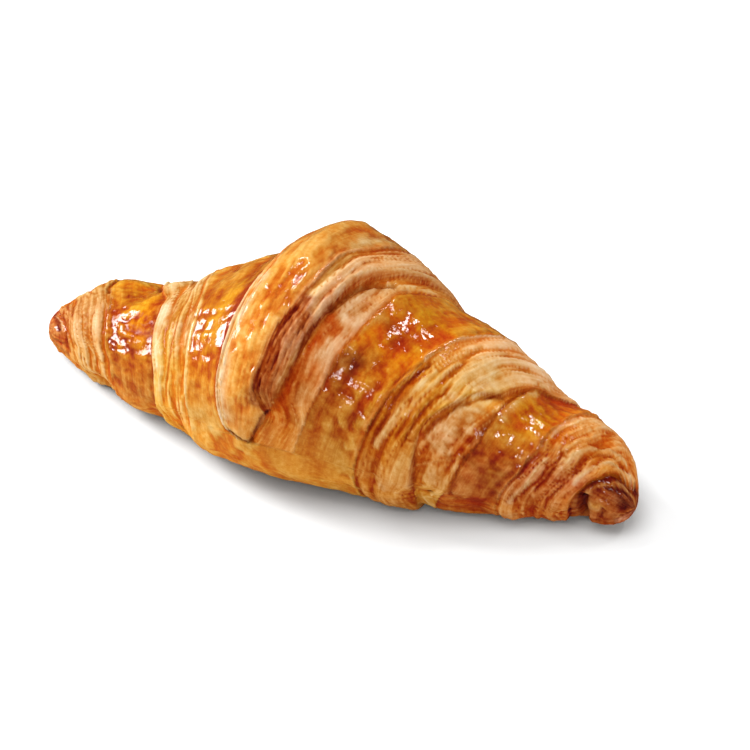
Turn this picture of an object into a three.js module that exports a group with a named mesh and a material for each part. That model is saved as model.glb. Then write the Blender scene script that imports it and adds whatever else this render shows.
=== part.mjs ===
// A baked butter croissant, made of one sheet of laminated dough rolled from a triangle.
// It is one solid piece: a spindle-shaped body whose surface steps down from the thick
// middle to the two rolled tips, one step for each turn of the dough. Units are
// millimetres, +Z is up, +X runs from tip to tip, and the flat baked underside lies on
// z = 0 with the origin under the middle of the part.
import * as THREE from 'three';

// ---- driving dimensions ---------------------------------------------------------------
const LENGTH = 165;          // tip to tip
const HALF = LENGTH / 2;
const TIP_START = 0.935;     // share of the half length where a tip starts to round off
const TIP_LIFT = 3.0;        // how far the underside of each tip rises off the table
const WIDEST_AT = 0.43;      // height of the widest point, as a share of the height
const ROUND_POWER = 0.95;    // fullness of the cross-section above the widest point
const SOLE_POWER = 0.8;      // fullness of the cross-section below it
const SOLE_PRESS = 1.10;     // how far the sole is pressed flat against the baking tray
const LIP_REACH = 9.0;       // a layer's raised edge dies out over this length inwards
const GAP_REACH = 4.5;       // the hollow beside the edge dies out over this length
const STEP_WIDTH = 0.5;      // half width of the step itself
const COLUMNS = 84;          // stations along the length, closer together at the steps
const TIP_RINGS = 4;         // stations on each rounded tip, the last one its end point
const SPOKES = 48;           // points around the roll

// Half width and height along the length, as shares of the half length.
const STATIONS = [-1, -0.955, -0.9, -0.8, -0.68, -0.56, -0.44, -0.32, -0.2, -0.1, 0, 0.1, 0.2, 0.32, 0.44, 0.56, 0.68, 0.8, 0.9, 0.955, 1];
const HALF_WIDTH = [4.72, 6.77, 9.37, 13.71, 15.77, 18.15, 21.37, 25.38, 29.24, 33.31, 35.14, 33.76, 30.73, 27.22, 24.93, 21.61, 16.86, 13.85, 10.32, 7.42, 4.94];
const HEIGHT = [10.37, 12.91, 16.27, 22.09, 24.71, 28.36, 33.39, 39.66, 45.69, 52.04, 54.9, 52.75, 48.02, 42.54, 38.96, 33.77, 26.42, 22.32, 17.75, 13.93, 10.72];
// Sideways sway of the centre line.
const SWAY_STATIONS = [-1, -0.8, -0.5, -0.2, 0.1, 0.4, 0.7, 0.9, 1];
const SWAY = [0.72, 0.66, -1.63, -1.37, -0.01, -0.58, 2.6, 3.76, -0.02];

// The two slanted edges of the dough triangle as they wind round the roll: unwound angle
// in degrees, then the place along the length. 181 degrees is the free point of the flap
// on the front; going down by 360 degrees is one turn deeper into the roll.
const EDGE_RIGHT = [
  [181, 2.5], [172, 4], [160, 6], [148, 7.5], [138, 9], [125, 10], [115, 10.5],
  [105, 11.2], [95, 12.8], [84, 16], [70, 19.5], [50, 22.5], [20, 25], [-20, 27],
  [-60, 29], [-100, 31], [-135, 33.2], [-160, 35], [-179, 36.5], [-195, 37.2], [-210, 38],
  [-222, 39.5], [-230, 41], [-240, 43], [-247, 45], [-253, 47.2], [-259, 49.2], [-268, 51],
  [-276, 53], [-288, 56], [-298, 58], [-320, 60], [-360, 62], [-405, 64.5], [-450, 66.5],
  [-495, 68], [-520, 69], [-540, 69.6], [-565, 70.5], [-575, 71.5], [-585, 72.7], [-595, 74.2],
  [-605, 76.2], [-620, 78.5], [-635, 80.2], [-660, 81.6], [-720, 84], [-900, 96],
];
const EDGE_LEFT = [
  [181, -2], [173, -5.5], [165, -6.6], [155, -7.6], [145, -8.5], [135, -8.9], [125, -9],
  [115, -9.05], [105, -9.1], [95, -9.4], [85, -10.2], [70, -12.4], [40, -16], [0, -19.8],
  [-45, -23.3], [-90, -26.3], [-135, -29.3], [-165, -31.5], [-185, -32.2], [-195, -33.2], [-205, -34.4],
  [-215, -35.7], [-225, -37], [-235, -38.2], [-245, -39.5], [-257, -41], [-265, -43.2], [-275, -46.4],
  [-290, -50], [-300, -51.6], [-330, -54.2], [-360, -56], [-405, -58.5], [-450, -60.7], [-495, -62.8],
  [-530, -64.6], [-542, -65.5], [-555, -66.4], [-570, -68.5], [-585, -71], [-600, -73.6], [-620, -76],
  [-650, -78], [-680, -79.6], [-720, -82], [-900, -94],
];
// Height of the raised edge and depth of the hollow beside it, by unwound angle.
const STEP_SIZE = [
  [181, 0.9, 0.9], [150, 1.1, 1.3], [100, 1.1, 1.2], [0, 1, 1],
  [-179, 1, 1.1], [-250, 0.9, 1.1], [-360, 0.8, 0.9], [-540, 0.6, 0.8],
  [-620, 0.5, 0.7], [-720, 0.3, 0.4], [-900, 0, 0],
];

// ---- helpers ---------------------------------------------------------------------------
const clamp = (v, a, b) => Math.min(Math.max(v, a), b);

// Monotone cubic curve through the points (xs, ys), flat outside them.
function monotone(xs, ys) {
  const n = xs.length;
  const h = [], d = [], m = new Array(n).fill(0);
  for (let i = 0; i < n - 1; i++) {
    h.push(xs[i + 1] - xs[i]);
    d.push((ys[i + 1] - ys[i]) / h[i]);
  }
  for (let i = 1; i < n - 1; i++) {
    if (d[i - 1] * d[i] > 0) {
      const w1 = 2 * h[i] + h[i - 1], w2 = h[i] + 2 * h[i - 1];
      m[i] = (w1 + w2) / (w1 / d[i - 1] + w2 / d[i]);
    }
  }
  const end = (h0, h1, d0, d1) => {
    const v = ((2 * h0 + h1) * d0 - h0 * d1) / (h0 + h1);
    if (v * d0 <= 0) return 0;
    return d0 * d1 <= 0 && Math.abs(v) > 3 * Math.abs(d0) ? 3 * d0 : v;
  };
  m[0] = end(h[0], h[1], d[0], d[1]);
  m[n - 1] = end(h[n - 2], h[n - 3], d[n - 2], d[n - 3]);
  return (x) => {
    let i = 0;
    while (i < n - 2 && x >= xs[i + 1]) i++;
    const t = clamp((x - xs[i]) / h[i], 0, 1);
    const t2 = t * t, t3 = t2 * t;
    return (2 * t3 - 3 * t2 + 1) * ys[i] + (t3 - 2 * t2 + t) * h[i] * m[i]
      + (3 * t2 - 2 * t3) * ys[i + 1] + (t3 - t2) * h[i] * m[i + 1];
  };
}
const byAngle = (rows, k) => {
  const r = [...rows].sort((p, q) => p[0] - q[0]);
  return monotone(r.map((p) => p[0]), r.map((p) => p[k]));
};

const halfWidth = monotone(STATIONS, HALF_WIDTH);
const height = monotone(STATIONS, HEIGHT);
const sway = monotone(SWAY_STATIONS, SWAY);
const edgeRight = byAngle(EDGE_RIGHT, 1);
const edgeLeft = byAngle(EDGE_LEFT, 1);
const lipHeight = byAngle(STEP_SIZE, 1);
const gapDepth = byAngle(STEP_SIZE, 2);
const DEEPEST = -900;
const FLAP_POINT = 181;
const TURNS = 4;

const soleLift = (u) => {
  const t = clamp((Math.abs(u) - 0.62) / 0.38, 0, 1);
  return TIP_LIFT * t * t;
};

// Height of one step at the signed distance d from its edge, d > 0 on the upper layer.
function step(d, lip, gap) {
  const inner = Math.max(d, 0), outer = Math.max(-d, 0);
  const up = lip * Math.exp(-inner / LIP_REACH) * (1 - 0.35 * Math.exp(-inner / 0.9));
  const down = -gap * Math.exp(-outer / GAP_REACH);
  const s = 0.5 * (1 + Math.tanh(d / STEP_WIDTH));
  return s * up + (1 - s) * down;
}

// Relief of all the layer edges at a place on the skin, in millimetres.
function relief(x, deg) {
  let sum = 0;
  for (let turn = 0; turn < TURNS; turn++) {
    const unwound = deg - 360 * turn;
    const at = clamp(unwound, DEEPEST, FLAP_POINT);
    const lip = lipHeight(at), gap = gapDepth(at);
    const fromRight = edgeRight(at) - x, fromLeft = x - edgeLeft(at);
    if (turn > 0) {
      if (unwound <= FLAP_POINT) sum += step(fromRight, lip, gap) + step(fromLeft, lip, gap);
    } else {
      const d = Math.min(fromRight, fromLeft, (FLAP_POINT - unwound) * 0.55);
      if (unwound <= FLAP_POINT) sum += step(d, lip, gap);
      else sum -= gap * Math.exp(Math.min(d, 0) / GAP_REACH) * Math.exp(-(unwound - FLAP_POINT) / 14);
    }
  }
  return sum;
}

// A point of the skin: share of the half length, angle round the roll, closing factor
// (1 on the body, falling to 0 at a tip).
function skin(u, deg, close) {
  const b = halfWidth(u), top = height(u), bottom = soleLift(u);
  const middle = bottom + WIDEST_AT * (top - bottom);
  const a = THREE.MathUtils.degToRad(deg);
  const c = Math.cos(a), s = Math.sin(a);
  const y = b * Math.sign(c) * Math.abs(c) ** ROUND_POWER;
  const z = s >= 0
    ? middle + (top - middle) * Math.abs(s) ** ROUND_POWER
    : middle - (middle - bottom) * SOLE_PRESS * Math.abs(s) ** SOLE_POWER;
  let ny = c / Math.max(b, 1), nz = s / Math.max(s >= 0 ? top - middle : middle - bottom, 1);
  const n = Math.hypot(ny, nz) + 1e-9;
  ny /= n;
  nz /= n;
  const d = relief(u * HALF, deg);
  const centre = (top + bottom) / 2;
  return [
    u * HALF,
    (y + ny * d) * close + sway(u),
    Math.max(centre + (z + nz * d - centre) * close, 0),
  ];
}

// Stations along one spoke, closer together where the spoke crosses a layer edge.
function stations(deg) {
  const edges = [];
  for (let turn = 0; turn < TURNS; turn++) {
    const at = deg - 360 * turn;
    if (at <= FLAP_POINT + 25) {
      const k = clamp(at, DEEPEST, FLAP_POINT);
      edges.push(edgeRight(k), edgeLeft(k));
    }
  }
  const span = TIP_START * HALF, fine = 1200;
  const total = [0];
  for (let i = 1; i <= fine; i++) {
    const x = -span + (2 * span * (i - 0.5)) / fine;
    let density = 1;
    for (const e of edges) density += 2.2 * Math.exp(-(((x - e) / 1.1) ** 2));
    total.push(total[i - 1] + density);
  }
  const out = [];
  let j = 0;
  for (let i = 0; i < COLUMNS; i++) {
    const want = (total[fine] * i) / (COLUMNS - 1);
    while (j < fine - 1 && total[j + 1] < want) j++;
    const f = clamp((want - total[j]) / (total[j + 1] - total[j]), 0, 1);
    out.push((-span + (2 * span * (j + f)) / fine) / HALF);
  }
  return out;
}

// ---- the body ---------------------------------------------------------------------------
function croissantGeometry() {
  const rings = 2 * (TIP_RINGS - 1) + COLUMNS;
  const positions = [];
  const columns = [];
  for (let s = 0; s < SPOKES; s++) columns.push(stations((360 * s) / SPOKES));
  for (let r = 0; r < rings; r++) {
    for (let s = 0; s < SPOKES; s++) {
      const deg = (360 * s) / SPOKES;
      let u, close = 1;
      const left = TIP_RINGS - 1 - r, right = r - (TIP_RINGS - 1 + COLUMNS - 1);
      if (left > 0 || right > 0) {
        const tau = (Math.max(left, right) / TIP_RINGS) * (Math.PI / 2);
        u = (TIP_START + (1 - TIP_START) * Math.sin(tau)) * (left > 0 ? -1 : 1);
        close = Math.cos(tau);
      } else {
        u = columns[s][r - (TIP_RINGS - 1)];
      }
      positions.push(...skin(u, deg, close));
    }
  }
  const leftEnd = positions.length / 3;
  positions.push(...skin(-1, 0, 0));
  positions.push(...skin(1, 0, 0));
  const rightEnd = leftEnd + 1;

  const index = [];
  const at = (r, s) => r * SPOKES + ((s + SPOKES) % SPOKES);
  for (let r = 0; r < rings - 1; r++) {
    for (let s = 0; s < SPOKES; s++) {
      const a = at(r, s), b = at(r + 1, s), c = at(r + 1, s + 1), d = at(r, s + 1);
      index.push(a, c, b, a, d, c);
    }
  }
  for (let s = 0; s < SPOKES; s++) {
    index.push(leftEnd, at(0, s + 1), at(0, s));
    index.push(rightEnd, at(rings - 1, s), at(rings - 1, s + 1));
  }

  const geometry = new THREE.BufferGeometry();
  geometry.setAttribute('position', new THREE.Float32BufferAttribute(positions, 3));
  geometry.setIndex(index);
  // Bring the origin under the middle of the part, on the sole.
  geometry.computeBoundingBox();
  const box = geometry.boundingBox;
  geometry.translate(-(box.min.x + box.max.x) / 2, -(box.min.y + box.max.y) / 2, 0);
  geometry.computeVertexNormals();
  return geometry;
}

const crust = new THREE.MeshStandardMaterial({ color: 0xc9781f, roughness: 0.38, metalness: 0 });
const croissant = new THREE.Mesh(croissantGeometry(), crust);
croissant.name = 'croissant';

const group = new THREE.Group();
group.add(croissant);

export default group;
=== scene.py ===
import math

import bpy
import numpy as np
from mathutils import Matrix, Vector


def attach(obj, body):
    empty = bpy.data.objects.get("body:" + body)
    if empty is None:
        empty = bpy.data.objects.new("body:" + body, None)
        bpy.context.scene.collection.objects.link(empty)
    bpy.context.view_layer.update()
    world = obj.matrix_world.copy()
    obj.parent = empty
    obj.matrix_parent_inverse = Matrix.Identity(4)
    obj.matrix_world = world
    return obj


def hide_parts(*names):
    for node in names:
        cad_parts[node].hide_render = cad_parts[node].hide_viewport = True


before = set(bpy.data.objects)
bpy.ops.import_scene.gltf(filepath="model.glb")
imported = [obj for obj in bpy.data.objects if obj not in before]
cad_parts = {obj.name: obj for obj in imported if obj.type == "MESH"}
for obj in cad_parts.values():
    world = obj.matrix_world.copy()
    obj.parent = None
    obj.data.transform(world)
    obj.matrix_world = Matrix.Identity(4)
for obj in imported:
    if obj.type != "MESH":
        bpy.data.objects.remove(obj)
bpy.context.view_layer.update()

# ----------------------------------------------------------------------------- numbers
# The croissant is one skin wrapped round the X axis. A place on it is (x, phi): x in
# millimetres along the roll, phi in degrees round it (0 back, 90 top, 180 front,
# 270 sole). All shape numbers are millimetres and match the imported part.
HALF = 82.5
TIP_START = 0.935
TIP_LIFT = 3.0
WIDEST_AT = 0.43
Y_SHIFT = 0.567
SPOKES = 290
COLUMNS = 328
TIP_RINGS = 8

STATIONS = [-1, -0.955, -0.9, -0.8, -0.68, -0.56, -0.44, -0.32, -0.2, -0.1, 0, 0.1, 0.2, 0.32, 0.44, 0.56, 0.68, 0.8, 0.9, 0.955, 1]
HALF_WIDTH = [4.72, 6.77, 9.37, 13.71, 15.77, 18.15, 21.37, 25.38, 29.24, 33.31, 35.14, 33.76, 30.73, 27.22, 24.93, 21.61, 16.86, 13.85, 10.32, 7.42, 4.94]
HEIGHT = [10.37, 12.91, 16.27, 22.09, 24.71, 28.36, 33.39, 39.66, 45.69, 52.04, 54.9, 52.75, 48.02, 42.54, 38.96, 33.77, 26.42, 22.32, 17.75, 13.93, 10.72]
SWAY_AT = [-1, -0.8, -0.5, -0.2, 0.1, 0.4, 0.7, 0.9, 1]
SWAY = [0.72, 0.66, -1.63, -1.37, -0.01, -0.58, 2.6, 3.76, -0.02]

# Lines on the skin, as (unwound angle, x). 184 is the free point of the flap; one turn
# deeper into the roll is 360 less. E: where a layer's glazed skin ends. J: where its cut,
# laminated edge sits on the next skin. STEP: where the surface steps down most.
E_R = [(184, -1.0), (181.5, 0.0), (178, 1.2), (174, 2.2), (170, 2.8), (166, 2.2), (162, 0.7), (158, -0.4), (154, -0.6), (145, 0.2), (137, 0.6), (128, 1.8), (118, 3), (106, 4.3), (90, 5.6), (76, 8.8), (50, 12), (20, 15), (-20, 17.5), (-60, 19.5), (-100, 21), (-140, 22.3), (-180, 23.2), (-198, 25), (-215, 26.8), (-231, 28.6), (-247, 31.7), (-259, 33.2), (-271, 35.4), (-284, 38.3), (-298, 41), (-320, 43.5), (-360, 46.5), (-400, 49), (-440, 51), (-480, 52.3), (-520, 53.5), (-547, 55.5), (-565, 57.6), (-582, 59.4), (-599, 60.7), (-615, 61.6), (-634, 63.1), (-643, 64.4), (-652, 65.2), (-680, 68.5), (-720, 71.5), (-780, 75), (-840, 78), (-900, 81), (-960, 84)]
J_R = [(184, 9.8), (180, 10.4), (161, 12.6), (143, 14.2), (126, 16), (118, 16.9), (109, 17.7), (99, 18.6), (90, 19.2), (82, 20.4), (70, 22), (40, 25), (0, 28), (-50, 31.8), (-100, 35.5), (-140, 39.5), (-165, 42), (-183, 44.8), (-202, 47), (-218, 48.7), (-234, 49.4), (-246, 50), (-262, 50.8), (-275, 52.6), (-280.5, 54), (-287, 55.6), (-295, 57.2), (-304, 59), (-340, 61.5), (-380, 63.5), (-420, 65.2), (-460, 66.7), (-500, 68), (-540, 69.4), (-557, 70.3), (-573, 72), (-592, 74.3), (-608, 76.5), (-625, 78.8), (-646, 80.4), (-700, 82), (-960, 96)]
STEP_R = [(184, -0.8), (180, 0.1), (170, 3.2), (160, 5), (146, 6.4), (136, 7.6), (124, 8.6), (115, 9.4), (107, 9.9), (99, 10.8), (93.5, 12), (87.5, 13.8), (83, 15.8), (77, 17.3), (71, 18.8), (65, 20), (57, 21.5), (40, 24), (20, 26), (-20, 29), (-60, 31.5), (-100, 33.4), (-140, 35), (-165, 36), (-190, 36.3), (-207, 36.3), (-214, 36.7), (-220, 37.5), (-225.5, 38.7), (-231, 40.2), (-236, 41.7), (-241, 42.9), (-246, 44.4), (-250.5, 46.4), (-255, 48.2), (-261, 49.6), (-269.5, 51.2), (-275, 52.6), (-280.5, 54), (-287, 55.6), (-295, 57.2), (-304, 59), (-340, 61.5), (-380, 63.5), (-420, 65.2), (-460, 66.7), (-500, 68), (-540, 69.4), (-557, 70.3), (-573, 72), (-592, 74.3), (-608, 76.5), (-625, 78.8), (-646, 80.4), (-700, 82), (-960, 96)]
E_L = [(184, -2), (181, -6), (175, -7.5), (165, -8.7), (151, -9.3), (134, -9.7), (116, -9.4), (103, -9), (93, -9.8), (80, -11.5), (60, -13.5), (20, -16), (-40, -18), (-100, -19.5), (-150, -20.8), (-183, -22.3), (-203, -23.5), (-222, -25.3), (-239, -26.8), (-255, -28.7), (-272, -31.6), (-290, -34), (-330, -38), (-380, -42), (-430, -45.5), (-480, -48.5), (-517, -50.2), (-542, -50.9), (-560, -53.2), (-578, -55.6), (-596, -57.6), (-613, -59.6), (-629, -62.3), (-647, -65), (-680, -68), (-740, -71.5), (-800, -75), (-900, -80), (-960, -84)]
J_L = [(184, -3), (181, -8), (175, -9.8), (168, -10.9), (158, -11.5), (147, -11.9), (134, -12.2), (122, -12.1), (112, -11.9), (103, -11.3), (93, -11.8), (80, -13.4), (50, -17), (0, -21), (-50, -25), (-100, -29), (-140, -32), (-172, -34.2), (-184, -34.4), (-194, -34.9), (-210, -37), (-227, -38.8), (-244, -40.4), (-252, -41.3), (-260, -41.8), (-266, -43.2), (-271, -45.2), (-277, -46.7), (-284, -48), (-298, -50.8), (-330, -54), (-380, -57.5), (-430, -60.5), (-480, -63.5), (-520, -66), (-543, -68), (-562, -69.4), (-578, -71.7), (-594, -75), (-610, -77.6), (-640, -80), (-700, -82.3), (-960, -95)]
STEP_SIZE = [(184, 0.9, 0.9), (150, 1.1, 1.3), (100, 1.1, 1.2), (0, 1.0, 1.0), (-179, 1.0, 1.1), (-250, 0.9, 1.1), (-360, 0.8, 0.9), (-540, 0.6, 0.8), (-620, 0.5, 0.7), (-720, 0.3, 0.4), (-960, 0, 0)]
FLAP = 184.0
TURNS = 4


# ----------------------------------------------------------------------------- helpers
def curve(points, k=1):
    """Monotone cubic through (p[0], p[k]), flat outside."""
    p = sorted(points)
    xs = np.array([q[0] for q in p], float)
    ys = np.array([q[k] for q in p], float)
    h = np.diff(xs)
    d = np.diff(ys) / h
    m = np.zeros_like(ys)
    w1, w2 = 2 * h[1:] + h[:-1], h[1:] + 2 * h[:-1]
    with np.errstate(divide="ignore", invalid="ignore"):
        mm = (w1 + w2) / (w1 / d[:-1] + w2 / d[1:])
    m[1:-1] = np.where(d[:-1] * d[1:] > 0, mm, 0.0)

    def end(h0, h1, d0, d1):
        v = ((2 * h0 + h1) * d0 - h0 * d1) / (h0 + h1)
        if v * d0 <= 0:
            return 0.0
        return 3 * d0 if d0 * d1 <= 0 and abs(v) > 3 * abs(d0) else v

    if len(xs) > 2:
        m[0] = end(h[0], h[1], d[0], d[1])
        m[-1] = end(h[-1], h[-2], d[-1], d[-2])
    else:
        m[:] = d[0]

    def f(x):
        x = np.asarray(x, float)
        i = np.clip(np.searchsorted(xs, x, side="right") - 1, 0, len(h) - 1)
        t = np.clip((x - xs[i]) / h[i], 0, 1)
        return (
            (1 + 2 * t) * (1 - t) ** 2 * ys[i]
            + t * (1 - t) ** 2 * h[i] * m[i]
            + t * t * (3 - 2 * t) * ys[i + 1]
            + t * t * (t - 1) * h[i] * m[i + 1]
        )

    return f


def smooth(a, b, v):
    t = np.clip((v - a) / (b - a), 0, 1)
    return t * t * (3 - 2 * t)


def window(v, a, b, soft):
    """1 between a and b, fading over soft outside."""
    return smooth(a - soft, a, v) * (1 - smooth(b, b + soft, v))


class Noise:
    """Smooth repeatable noise over (mm along x, degrees round), unit spread."""

    def __init__(self, seed, mm, deg, x_span=200.0, deg_span=360.0, nx=1024, nd=720):
        rng = np.random.RandomState(seed)
        f = np.fft.rfft2(rng.standard_normal((nd, nx)))
        kx = np.fft.rfftfreq(nx, x_span / nx)
        kd = np.fft.fftfreq(nd, deg_span / nd)
        f *= np.exp(-2 * (math.pi * mm * kx[None, :]) ** 2) * np.exp(-2 * (math.pi * deg * kd[:, None]) ** 2)
        g = np.fft.irfft2(f, s=(nd, nx))
        g -= g.mean()
        self.g = g / g.std()
        self.xs, self.ds, self.nx, self.nd = x_span, deg_span, nx, nd

    def __call__(self, x, d):
        a = (x / self.xs + 0.5) * self.nx
        b = (d / self.ds) * self.nd
        i, j = np.floor(a).astype(int), np.floor(b).astype(int)
        u, v = a - i, b - j
        i0, i1, j0, j1 = i % self.nx, (i + 1) % self.nx, j % self.nd, (j + 1) % self.nd
        g = self.g
        return (g[j0, i0] * (1 - u) + g[j0, i1] * u) * (1 - v) + (g[j1, i0] * (1 - u) + g[j1, i1] * u) * v


half_width, height, sway = curve(list(zip(STATIONS, HALF_WIDTH))), curve(list(zip(STATIONS, HEIGHT))), curve(list(zip(SWAY_AT, SWAY)))
SIDES = {1: (curve(E_R), curve(J_R), curve(STEP_R)), -1: (curve(E_L), curve(J_L), curve(J_L))}
lip_of, gap_of = curve(STEP_SIZE, 1), curve(STEP_SIZE, 2)

# ----------------------------------------------------------------------------- the grid
# spokes lie closer on the upper half than on the flat sole
dense_at = np.linspace(0, 360, 3601)
dense = 0.75 + 0.85 * window(dense_at, 55, 200, 20) - 0.25 * window(dense_at, 235, 305, 15)
dense_sum = np.concatenate([[0], np.cumsum((dense[1:] + dense[:-1]) / 2)])
deg = np.interp(np.arange(SPOKES) * dense_sum[-1] / SPOKES, dense_sum, dense_at)
span = TIP_START * HALF


def lines_at(d):
    """All line positions that cross each spoke, for spacing the columns."""
    out = []
    for side, (e, j, st) in SIDES.items():
        for turn in range(TURNS):
            at = d - 360.0 * turn
            ok = at <= FLAP + 20
            c = np.clip(at, -960, FLAP)
            for f in (e, j, st):
                out.append(np.where(ok, f(c), np.nan))
    return out


fine = np.linspace(-span, span, 2401)
density = np.ones((SPOKES, fine.size))
for xs in lines_at(deg):
    density += np.nan_to_num(0.9 * np.exp(-(((fine[None, :] - xs[:, None]) / 1.0) ** 2)))
for side, (e, j, st) in SIDES.items():
    for turn in range(TURNS):
        at = deg - 360.0 * turn
        c = np.clip(at, -960, FLAP)
        a, b = (e(c) * side)[:, None], (j(c) * side)[:, None]
        inside = smooth(a - 1, a + 1, fine[None, :] * side) * (1 - smooth(b - 1, b + 1, fine[None, :] * side))
        density += 0.45 * inside * (at <= FLAP)[:, None]
total = np.concatenate([np.zeros((SPOKES, 1)), np.cumsum((density[:, 1:] + density[:, :-1]) / 2, axis=1)], 1)
cols = np.stack([np.interp(np.linspace(0, t[-1], COLUMNS), t, fine) for t in total], 1)  # (COLUMNS, SPOKES)

tau = np.arange(1, TIP_RINGS) / TIP_RINGS * math.pi / 2
u_cap = TIP_START + (1 - TIP_START) * np.sin(tau)
U = np.concatenate([-u_cap[::-1, None] + 0 * deg, cols / HALF, u_cap[:, None] + 0 * deg])
CLOSE = np.concatenate([np.cos(tau[::-1]), np.ones(COLUMNS), np.cos(tau)])[:, None] + 0 * U
RINGS = U.shape[0]
X = U * HALF
PHI = deg[None, :] + 0 * U

# ----------------------------------------------------------------------------- zones
D = np.zeros_like(X)          # offset along the section's normal
AX = np.zeros_like(X)         # offset along x
lam = np.zeros_like(X)        # 1 on the laminated cut edges
lam_t = np.zeros_like(X)
lam_w = np.ones_like(X)
UNW = PHI.copy()              # unwound angle of the strip a point belongs to
Q = np.zeros_like(X)          # mm across the strip, so that its lines follow the strip's edges
crack_shade_and_glow = np.zeros_like(X)    # painted shade in the cracks; on the front also a painted orange glow
browned = np.zeros_like(X)    # raised, browned rims
centre_x = -3.0
out_side = np.where(X >= centre_x, 1, -1)
SIDE = out_side.astype(float)
Rloc = np.maximum(0.5 * (half_width(U) + height(U) / 2), 4.0)   # mean radius, mm
ARC = Rloc * math.pi / 180.0  # mm per degree

rag = Noise(11, 0.8, 3.4)
rag2 = Noise(12, 2.5, 6.0)
low = Noise(13, 9.0, 22.0)

E_POS, J_POS, S_POS = {}, {}, {}
LAYER = np.zeros(X.shape, int)   # which strip: see TONES
for side, (e, j, st) in SIDES.items():
    O = X * side
    on = out_side == side
    for turn in range(TURNS):
        at = PHI - 360.0 * turn
        c = np.clip(at, -960, FLAP)
        slow = 0.25 * rag2(X * 0 + 37.0 * turn + 11 * side, PHI)
        wob = slow + 0.12 * np.clip(Rloc / 22, 0.2, 1) * rag(X * 0 + 53.0 * turn + 17 * side, PHI)
        ee, jj, ss = e(c) * side + wob, j(c) * side + 0.6 * wob, st(c) * side + 0.6 * slow
        alive_ = at <= FLAP
        E_POS[side, turn], J_POS[side, turn], S_POS[side, turn] = (np.where(alive_, v, -99.0) for v in (ee, jj, ss))
    for turn in range(TURNS):
        at = PHI - 360.0 * turn
        alive_ = at <= FLAP
        ee, jj, ss = E_POS[side, turn], J_POS[side, turn], S_POS[side, turn]
        inner = J_POS[side, turn - 1] if turn else np.full_like(X, side * centre_x)
        inner = np.where(inner < -90, side * centre_x, inner)
        in_lam = on & alive_ & (O > ee) & (O <= jj)
        in_skin = on & (O <= ee) & (O > inner) & alive_
        lam[in_lam] = 1
        width = np.maximum(jj - ee, 0.3)
        lam_t[in_lam] = ((O - ee) / width)[in_lam]
        lam_w[in_lam] = (jj - ee)[in_lam]
        q = 0.5 * (O - ee) + 0.5 * 11.0 * (O - ee) / width
        Q[in_lam] = (q + 40.0 * turn + 5)[in_lam]
        q = 18.0 * (O - inner) / np.maximum(ee - inner, 1.0)
        Q[in_skin] = (q + 40.0 * turn + 20)[in_skin]
        both = in_lam | in_skin
        UNW[both] = at[both]
        if side < 0:
            LAYER[in_skin] = [6, 4, 2, 0][turn]
            LAYER[in_lam] = [5, 3, 1, 0][turn]
        else:
            LAYER[in_skin] = [6, 9, 12, 14][turn]
            LAYER[in_lam] = [7, 10, 13, 14][turn]
            if turn < 2:
                LAYER[in_lam & (O > ss)] = [8, 11][turn]
Q = Q * SIDE

tx = lam_t * lam_w            # mm from the skin's rim across the laminated edge
skin = 1 - lam

# ------------------------------------------------------------------- broad relief (steps)
LIP_REACH, GAP_REACH, STEP_W = 9.0, 4.5, 0.3
STEP_R_SCALE, STEP_L_SCALE = (1.0, 0.75, 0.9, 0.8), (1.0, 0.6, 0.6, 0.8)


def step_profile(d, lip, gap, w=STEP_W, reach=GAP_REACH):
    di, do = np.maximum(d, 0), np.maximum(-d, 0)
    up = lip * np.exp(-di / LIP_REACH) * (1 - 0.35 * np.exp(-di / 0.9))
    down = -gap * np.exp(-do / reach)
    s = 0.5 * (1 + np.tanh(d / w))
    return s * up + (1 - s) * down


for turn in range(TURNS):
    at = PHI - 360.0 * turn
    c = np.clip(at, -960, FLAP)
    lip, gap = lip_of(c), gap_of(c)
    r, l = S_POS[1, turn] - X, X + S_POS[-1, turn]
    ok = at <= FLAP
    if turn:
        kr, kl = STEP_R_SCALE[turn], STEP_L_SCALE[turn]
        D += np.where(ok, kr * step_profile(r, lip, gap) + kl * step_profile(l, lip, 0.6 * gap, reach=2.0), 0)
    else:
        d = np.minimum(np.minimum(r, l), (FLAP - at) * 0.5)
        gap = gap * np.where(l < r, 0.4, 1.0)
        foot = 1 - 0.45 * smooth(160, 178, PHI)
        gap, lip = gap * foot, lip * foot
        reach = np.where(l < r, 2.0, GAP_REACH)
        D += np.where(ok, step_profile(d, lip, gap, reach=reach), -gap * np.exp(np.minimum(d, 0) / reach) * np.exp(-np.maximum(at - FLAP, 0) / 14.0))

# trims of the outline: (x, at the top, at the front edge of the sole)
TRIM = [(-82, 0, 0), (-78, -0.3, -0.6), (-73, 0.0, -1.6), (-68, 0.2, -1.4), (-63, 0, -0.8), (-58, 0, -2.0), (-52, -0.9, -0.4), (-46, 0.1, 0.8), (-41, -1.0, 0.2), (-36, 0.3, -1.2), (-32, 0.6, -1.0), (-27, -0.4, -0.9), (-22, -0.3, 0.8), (-17, -1.2, 1.0), (-12, -0.8, -0.1), (-7, 0.5, -0.5), (-2, 1.6, -0.7), (4, 0.7, -0.8), (10, 0.2, -0.5), (17, 1.0, -0.5), (22, 0.3, -0.8), (27, -0.2, -0.3), (31, -0.7, -0.9), (38, 0.2, -2.0), (43, 0.7, -1.3), (48, 0.0, -1.5), (53, 0.2, -0.3), (57, -0.8, 0.5), (60, -0.6, 0.0), (65, 0.7, -0.6), (69, 0.6, -1.4), (71.5, -0.6, -1.8), (74, 0.0, 0.1), (78, -1.2, -0.3), (82, 0.0, 0)]
D += curve(TRIM, 1)(X) * window(PHI, 58, 88, 22) + curve(TRIM, 2)(X) * window(PHI, 198, 214, 16)

# x measured along the surface down the steps, so that texture doesn't stretch on them
XS = X - SIDE * D
Q = Q + XS - X

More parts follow.
